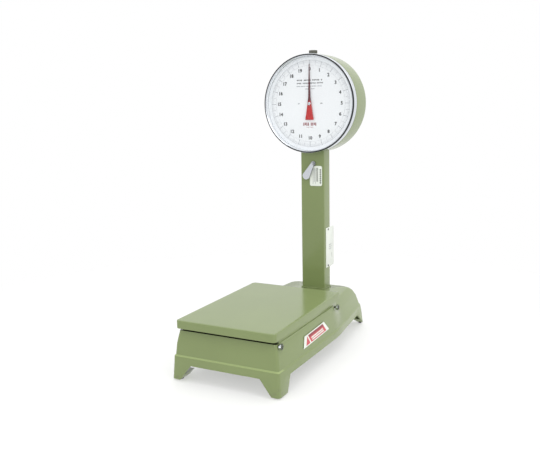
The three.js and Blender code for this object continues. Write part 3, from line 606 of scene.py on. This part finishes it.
def build_badge():
    """A slanted red and white badge with plain stripes, flat on the leaning wall."""
    plate = frame["nodes"]["side_badge"].data
    face = max(plate.polygons, key=lambda polygon: polygon.normal.x * polygon.area)
    outward = face.normal.copy()
    upward = (UP - outward * UP.dot(outward)).normalized()
    across = upward.cross(outward)
    found = {tuple(round(value, 6) for value in vertex.co) for vertex in plate.vertices
             if (vertex.co - face.center).dot(outward) > -0.1 * MM}
    corners = [Vector(corner) for corner in found]
    centre = sum(corners, Vector()) / len(corners)
    flat = [((corner - centre).dot(across), (corner - centre).dot(upward)) for corner in corners]
    # The sorted corners are low front, low rear, high rear and high front.
    outline = sorted(flat, key=lambda spot: atan2(spot[1], spot[0]))
    thickness = 0.8 * MM
    plane = (centre - outward * thickness, across, upward)
    mesh = loft("badge_plate", plate_rings(outline, plane, 0.985, thickness))
    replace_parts(add_piece("badge_plate", mesh, "stand", "white_plate"), "side_badge")
    low_front, low_rear, high_rear, high_front = (Vector(corner) for corner in outline)

    def patch(*shares):
        """An outline given as shares of the badge's length and height."""
        return [tuple(low_front.lerp(low_rear, s).lerp(high_front.lerp(high_rear, s), t)) for s, t in shares]

    def strip(s0, s1, t0, t1):
        return patch((s0, t0), (s1, t0), (s1, t1), (s0, t1))

    wedge = patch((0.09, 0.10), (0.25, 0.10), (0.12, 0.90))
    field = patch((0.29, 0.10), (0.90, 0.10), (0.90, 0.90), (0.16, 0.90))
    band = patch((0.215, 0.66), (0.90, 0.66), (0.90, 0.90), (0.16, 0.90))
    stripes = [strip(0.33, 0.82, 0.22, 0.34), strip(0.30, 0.82, 0.42, 0.54)]
    layers = (("badge_field", [wedge, field], 0.10, MATERIALS["badge_red"]),
              ("badge_band", [band], 0.14, DARK_RED),
              ("badge_stripes", stripes, 0.16, MATERIALS["white_plate"]))
    for name, outlines, depth, material in layers:
        mesh = prisms(name, outlines, centre, across, upward, depth * MM)
        add_piece(name, mesh, "stand", "badge_red", material)


# ------------------------------------------------------------------ lock


def build_lock():
    lever = add_piece("lock_handle", bevelled_copy("lock_handle", "lock_lever", 0.55 * MM, 4), "lock",
                      "bright_plating", MATERIALS["bright_plating"], PAINTED_DARK_REFLECTION)
    # The lever's side faces take the painted dark reflection.
    for polygon in lever.data.polygons:
        polygon.material_index = int(abs(polygon.normal.y) < 0.4)
    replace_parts(lever, "lock_lever")
    low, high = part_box("lock_bush")
    profile = soften([(3.9 * MM, 0), (6.7 * MM, 0), (6.7 * MM, 4.6 * MM), (5.7 * MM, 4.6 * MM),
                      (5.7 * MM, high.y - low.y), (3.9 * MM, high.y - low.y), (3.9 * MM, 0)], 0.5 * MM)
    centre = middle("lock_bush")
    mesh = lathe("lock_collar", profile, Vector((centre.x, low.y, centre.z)), BACK, 48)
    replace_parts(add_piece("lock_collar", mesh, "stand", "steel"), "lock_bush")


# ------------------------------------------------------------------ head


def head_mesh(name, profile, near, segments=160, reach=0.6 * MM):
    """A turned part of the head. Distances in the profile run back from near."""
    return lathe(name, soften(profile, reach), Vector((0, near, HUB.z)), BACK, segments)


def build_drum():
    low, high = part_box("head_drum")
    radius, depth = (high.x - low.x) / 2, high.y - low.y
    shell, curve, cover_hole = 1.6 * MM, 13 * MM, 112 * MM
    steps = 8
    angles = [i / steps * pi / 2 for i in range(steps + 1)]
    shoulder = [(radius - curve + curve * cos(angle), depth - curve * (1 - sin(angle))) for angle in angles]
    lining = [(r - shell, y - shell) for r, y in shoulder[::-1]]
    profile = [(radius, 0), *shoulder, (cover_hole, depth), (cover_hole, depth - shell), *lining,
               (radius - shell, 0), (radius, 0)]
    drum = lathe("drum_shell", profile, Vector((0, low.y, HUB.z)), BACK, 160)
    knob = middle("zero_screw")
    hole = lathe("screw_hole", [(0, 0), (5 * MM, 0), (5 * MM, 60 * MM), (0, 60 * MM)],
                 Vector((knob.x, knob.y, high.z - 30 * MM)), UP, 32)
    tube = [Vector((x, y, 0)) for x, y in tube_section("column_tube", 3.2 * MM, -0.3 * MM)]
    passage_ends = (low.z - 20 * MM, low.z + 40 * MM)
    passage = loft("column_passage", [[point + UP * z for point in tube] for z in passage_ends])
    shell_piece = add_piece("drum_shell", without(without(drum, hole), passage), "stand", "green_enamel")
    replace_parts(shell_piece, "head_drum")


def build_bezel():
    """A plated ring: a bright lip over the glass, a rolled edge in near-black steel as a painted dark
    reflection, and a bright band round the side.
    """
    low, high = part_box("bezel_ring")
    radius, depth = (high.x - low.x) / 2, high.y - low.y
    edge_inside, edge_depth = radius - 4.8 * MM, 3.2 * MM
    lining = radius - 6 * MM
    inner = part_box("dial_glass")[1].x - 0.5 * MM
    profile = [(inner, 1.8 * MM), (inner + 1.0 * MM, 0.6 * MM), (edge_inside, 0.2 * MM),
               (edge_inside + 0.6 * MM, 0), (radius - 1.8 * MM, 0), (radius - 1.0 * MM, 1.0 * MM),
               (radius - 0.9 * MM, edge_depth), (radius - 0.2 * MM, edge_depth + 0.6 * MM),
               (radius, edge_depth + 1.4 * MM), (radius, depth - 1 * MM), (radius - 0.6 * MM, depth),
               (lining, depth), (lining - 0.2 * MM, 3.0 * MM), (inner, 3.0 * MM), (inner, 1.8 * MM)]
    mesh = head_mesh("bezel_shell", profile, low.y, reach=0.3 * MM)
    bezel = add_piece("bezel_shell", mesh, "stand", "bright_plating", MATERIALS["bright_plating"], PAINTED_DARK_REFLECTION,
                      MATERIALS["dial_white"])
    for polygon in mesh.polygons:
        centre = polygon.center
        reach = hypot(centre.x, centre.z - HUB.z)
        # The rolled front edge takes the painted dark reflection.
        if centre.y < low.y + edge_depth and reach > edge_inside:
            polygon.material_index = 1
        elif centre.y > low.y + 3.2 * MM and reach < lining + 0.2 * MM:
            polygon.material_index = 2
    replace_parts(bezel, "bezel_ring")


def build_glass():
    low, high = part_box("dial_glass")
    radius, depth = (high.x - low.x) / 2, high.y - low.y
    mesh = head_mesh("glass_pane", [(0, 0), (radius, 0), (radius, depth), (0, depth)], low.y, reach=0.3 * MM)
    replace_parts(add_piece("glass_pane", mesh, "stand", "glass"), "dial_glass")


def spoke(angle, inner, outer, width):
    """A thin bar that points at the dial's centre; the angle runs clockwise from the top."""
    along, across = Vector((sin(angle), cos(angle))), Vector((cos(angle), -sin(angle)))
    corners = ((inner, -1), (inner, 1), (outer, 1), (outer, -1))
    return [tuple(along * radius + across * side * width / 2) for radius, side in corners]


def arc_pieces(radius, width, count=120):
    """Short straight pieces that together make a thin circle."""
    pieces = []
    for i in range(count):
        a, b = i / count * tau, (i + 1) / count * tau
        pieces.append([(r * sin(t), r * cos(t)) for r, t in
                       ((radius, a), (radius, b), (radius + width, b), (radius + width, a))])
    return pieces


def numeral_mesh(text, size, centre):
    """Raised figures that face the reader, centred on a point."""
    curve = bpy.data.curves.new(f"figure_{text}", "FONT")
    curve.body = text
    curve.size = size
    curve.align_x = "CENTER"
    curve.align_y = "CENTER"
    curve.extrude = 0.04 * MM
    curve.offset = 0.5 * MM
    curve.resolution_u = 4
    figure = bpy.data.objects.new(f"figure_{text}", curve)
    bpy.context.scene.collection.objects.link(figure)
    mesh = bpy.data.meshes.new_from_object(figure.evaluated_get(bpy.context.evaluated_depsgraph_get()))
    bpy.data.objects.remove(figure)
    mesh.transform(Matrix.Translation(centre) @ Matrix.Rotation(pi / 2, 4, "X"))
    return mesh


def joined(name, meshes):
    work = bmesh.new()
    for mesh in meshes:
        work.from_mesh(mesh)
    bmesh.ops.remove_doubles(work, verts=work.verts, dist=0.001 * MM)
    result = bpy.data.meshes.new(name)
    work.to_mesh(result)
    work.free()
    return result


KILOGRAMS = 20
FIGURE_RADIUS = 97 * MM
BOLD_ROWS = ((66, 3.6, -40, 42, 4.4), (57.5, 3.2, -40, 42, 3.7), (0.6, 3.0, 33, 40, 3.4))
RED_ROWS = ((-57.5, 9.0, -20.6, 21, 4.6), (-66.5, 1.4, -11, 12, 2.4))
FINE_ROWS = ((49, 2.0, -41, 41, 2.8), (41.5, 2.2, -13, 18, 3.6), (0.4, 2.6, -37, -31, 2.9))


def build_dial():
    """A white dial with 100 g graduations, figures 0 to 19 and plain bars where small print would be."""
    low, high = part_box("dial_plate")
    radius, depth = (high.x - low.x) / 2, high.y - low.y
    bore = 4 * MM
    profile = [(bore, 0), (radius, 0), (radius, depth), (bore, depth), (bore, 0)]
    mesh = head_mesh("dial_face", profile, low.y, reach=0.2 * MM)
    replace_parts(add_piece("dial_face", mesh, "stand", "dial_white"), "dial_plate")

    graduations, majors = [], []
    per_kilogram = 10
    for i in range(KILOGRAMS * per_kilogram):
        angle = i / (KILOGRAMS * per_kilogram) * tau
        if i % per_kilogram == 0:
            majors.append(spoke(angle, 107 * MM, 121 * MM, 0.9 * MM))
        elif i % 5 == 0:
            majors.append(spoke(angle, 110 * MM, 121 * MM, 0.6 * MM))
        else:
            graduations.append(spoke(angle, 114 * MM, 121 * MM, 0.35 * MM))
    graduations += arc_pieces(121 * MM, 0.4 * MM)
    graduations += arc_pieces(107 * MM, 0.25 * MM)
    add_piece("dial_graduations", prisms("dial_graduations", graduations, HUB, RIGHT, UP, 0.08 * MM), "stand",
              "dial_white", FAINT_INK)
    add_piece("dial_major_marks", prisms("dial_major_marks", majors, HUB, RIGHT, UP, 0.09 * MM), "stand",
              "dial_white", FAINT_INK)

    figures = []
    for number in range(KILOGRAMS):
        angle = number / KILOGRAMS * tau
        centre = HUB + Vector((FIGURE_RADIUS * sin(angle), -0.05 * MM, FIGURE_RADIUS * cos(angle)))
        figures.append(numeral_mesh(str(number), 12.8 * MM, centre))
    add_piece("dial_figures", joined("dial_figures", figures), "stand", "dial_white", INK)
    for name, rows, ink in (("dial_bold_print", BOLD_ROWS, INK), ("dial_fine_print", FINE_ROWS, FAINT_INK),
                            ("dial_red_print", RED_ROWS, DARK_RED)):
        mesh = prisms(name, printed_rows(rows), HUB, RIGHT, UP, 0.08 * MM)
        add_piece(name, mesh, "stand", "dial_white", ink)


def printed_rows(rows):
    """Rows of short bars in place of wording.

    A row is its height over the hub, bar height, start, end and step, in millimetres.
    """
    bars = []
    for height, tall, start, end, step in rows:
        for i in range(int((end - start) / step)):
            if i % 6 == 4:
                continue
            left = start + i * step
            lift = tall * 0.2 if i % 3 == 1 else 0.0
            corners = bar(left, left + step * 0.62, height - tall / 2 + lift, height + tall / 2)
            bars.append([(u * MM, v * MM) for u, v in corners])
    return bars


def build_pointer():
    """A thin needle with a folded ridge, and a broad counterweight below the hub."""
    low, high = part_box("pointer")
    hub = HUB.z
    rows = ((high.z, 0.8), (hub + 18 * MM, 3.3), (hub + 2 * MM, 5.6), (hub - 2 * MM, 6.0), (low.z, 13.0))
    ridge = 0.7 * MM
    rings = []
    for z, half in rows:
        half *= MM
        eased = half * 0.86
        rings.append([Vector(point) for point in (
            (-half, high.y, z), (-half, low.y + 0.2 * MM, z), (-eased, low.y, z), (0, low.y - ridge, z),
            (eased, low.y, z), (half, low.y + 0.2 * MM, z), (half, high.y, z))])
    mesh = loft("pointer_blade", rings, sharp=20)
    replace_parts(add_piece("pointer_blade", mesh, "pointer", "pointer_red"), "pointer")

    low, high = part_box("pointer_cap")
    radius, depth = (high.x - low.x) / 2, high.y - low.y
    profile = soften([(0, 0), (radius * 0.7, 0.05 * depth), (radius, 0.6 * depth), (radius, depth),
                      (0, depth)], 0.5 * MM)
    mesh = head_mesh("pointer_boss", profile, low.y, 48, 0.1 * MM)
    boss = add_piece("pointer_boss", mesh, "pointer", "brass", MATERIALS["bright_plating"])
    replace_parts(boss, "pointer_cap")


def build_rear_cover():
    low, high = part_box("rear_cover")
    radius, depth = (high.x - low.x) / 2, high.y - low.y
    profile = [(0, 0), (radius, 0), (radius, depth * 0.6), (radius - 1.2 * MM, depth),
               (radius - 12 * MM, depth), (radius - 14 * MM, depth * 0.45), (0, depth * 0.45)]
    mesh = head_mesh("rear_disc", profile, low.y)
    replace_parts(add_piece("rear_disc", mesh, "stand", "green_enamel"), "rear_cover")
    for number in (1, 2, 3):
        build_screw(f"cover_screw_{number}", BACK, "steel", "steel")


def build_knob():
    """A fluted grip with eased rims and a dished top."""
    low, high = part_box("zero_knob")
    radius = (high.x - low.x) / 2
    centre = middle("zero_knob")
    flutes, steps = 18, 6
    count = flutes * steps

    def ring(scale, z):
        made = []
        for i in range(count):
            angle = i / count * tau
            reach = (radius - 0.5 * MM + 0.5 * MM * cos(flutes * angle)) * scale
            made.append(Vector((centre.x + reach * cos(angle), centre.y + reach * sin(angle), z)))
        return made

    rings = [ring(scale, z) for scale, z in (
        (0.4, low.z), (0.9, low.z), (1.0, low.z + 0.8 * MM), (1.0, high.z - 1.0 * MM),
        (0.94, high.z - 0.2 * MM), (0.86, high.z), (0.7, high.z - 0.4 * MM))]
    grip = add_piece("knob_grip", loft("knob_grip", rings), "zero_adjuster", "dark_plastic")
    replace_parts(grip, "zero_knob")


# ------------------------------------------------------------------ studio


def floor_material():
    """A pale matt floor that melts into the backdrop away from the scale."""
    shader = Shader("studio_floor")
    flat = shader.node("ShaderNodeVectorMath", {"operation": "MULTIPLY"})
    shader.feed(flat.inputs[0], shader.place())
    shader.feed(flat.inputs[1], (1.0, 1.0, 0.0))
    distance = shader.node("ShaderNodeVectorMath", {"operation": "LENGTH"})
    shader.feed(distance.inputs[0], flat.outputs["Vector"])
    near, far, near_alpha = 0.35, 1.3, 0.55
    alpha = shader.between(distance.outputs["Value"], near_alpha, 0.0, near, far)
    shader.feed(shader.surface.inputs["Alpha"], alpha)
    cloud = shader.between(shader.noise(2.0), 0.0, 1.0)
    pale = shader.mix(cloud, linear(250, 250, 249), linear(252, 252, 251))
    gloss = shader.between(shader.noise(6.0), 0.6, 0.7)
    return shader.finish(pale, gloss, shader.bump(shader.noise(300.0), 0.01 * MM))


def build_floor():
    radius, rings = 3.0, 6
    profile = [(0, 0)] + [(radius * ((i + 1) / rings) ** 2, 0) for i in range(rings)]
    mesh = lathe("studio_floor", profile, Vector((0, 0, -0.0005)), UP, 64)
    mesh.materials.append(floor_material())
    floor = bpy.data.objects.new("studio_floor", mesh)
    bpy.context.scene.collection.objects.link(floor)


def add_light(name, place, target, size, power):
    light = bpy.data.lights.new(name, "AREA")
    light.shape = "DISK"
    light.size = size
    light.energy = power
    lamp = bpy.data.objects.new(name, light)
    lamp.location = place
    lamp.rotation_euler = (Vector(target) - Vector(place)).to_track_quat("-Z", "Y").to_euler()
    bpy.context.scene.collection.objects.link(lamp)


def build_world():
    """A white backdrop. As a light it is brighter above, to the right and behind than in front."""
    world = bpy.data.worlds.new("studio")
    world.use_nodes = True
    bpy.context.scene.world = world
    tree = world.node_tree

    def add(kind):
        return tree.nodes.new(kind)

    towards, share = add("ShaderNodeVectorMath"), add("ShaderNodeMapRange")
    towards.operation = "DOT_PRODUCT"
    bright_side, dimmest, brightest = Vector((0.55, 0.5, 0.65)), 0.86, 1.1
    towards.inputs[1].default_value = bright_side.normalized()
    tree.links.new(add("ShaderNodeTexCoord").outputs["Generated"], towards.inputs[0])
    tree.links.new(towards.outputs["Value"], share.inputs["Value"])
    for socket, value in (("From Min", -1.0), ("From Max", 1.0), ("To Min", dimmest), ("To Max", brightest)):
        share.inputs[socket].default_value = value
    glow, backdrop, choice = tree.nodes["Background"], add("ShaderNodeBackground"), add("ShaderNodeMixShader")
    for shader in (glow, backdrop):
        shader.inputs["Color"].default_value = (1.0, 1.0, 1.0, 1.0)
    tree.links.new(share.outputs["Result"], glow.inputs["Strength"])
    tree.links.new(add("ShaderNodeLightPath").outputs["Is Camera Ray"], choice.inputs["Fac"])
    tree.links.new(glow.outputs["Background"], choice.inputs[1])
    tree.links.new(backdrop.outputs["Background"], choice.inputs[2])
    tree.links.new(choice.outputs["Shader"], tree.nodes["World Output"].inputs["Surface"])


def build_light():
    build_world()
    add_light("key", (2.0, -0.6, 2.4), (0, 0, 0.3), 1.8, 12)
    add_light("overhead", (-0.3, 0.2, 3.0), (0, 0, 0.3), 2.4, 14)
    add_light("front", (0.0, -3.0, 1.6), (0, 0, 0.6), 1.6, 12)
    bpy.context.scene.view_settings.view_transform = "Standard"


def build_camera():
    """Above the platform's front right corner, looking down at the column."""
    place = Vector((0.7999, -1.6038, 0.6519))
    sensor_width, focal_length = 36, 45.478
    yaw, pitch, roll = radians(27.35), radians(9.74), radians(-1.08)
    forward = Vector((-sin(yaw) * cos(pitch), cos(yaw) * cos(pitch), -sin(pitch)))
    right = forward.cross(UP).normalized()
    upward = right.cross(forward)
    rolled_right = right * cos(roll) + upward * sin(roll)
    rolled_up = upward * cos(roll) - right * sin(roll)
    lens = bpy.data.cameras.new("camera")
    lens.sensor_width = sensor_width
    lens.lens = focal_length
    camera = bpy.data.objects.new("camera", lens)
    turn = Matrix((rolled_right, rolled_up, -forward)).transposed()
    camera.matrix_world = Matrix.Translation(place) @ turn.to_4x4()
    bpy.context.scene.collection.objects.link(camera)
    bpy.context.scene.camera = camera


# ------------------------------------------------------------------ the whole scene

for node, cad_piece in frame["nodes"].items():
    cad_piece.data.materials.clear()
    cad_piece.data.materials.append(MATERIALS[RECORD_SLOTS[node]])

build_base()
build_platform()
build_column()
build_instruction_plate()
build_side_plate()
build_badge()
build_lock()
build_drum()
build_bezel()
build_glass()
build_dial()
build_pointer()
build_rear_cover()
build_knob()
build_floor()
build_light()
build_camera()
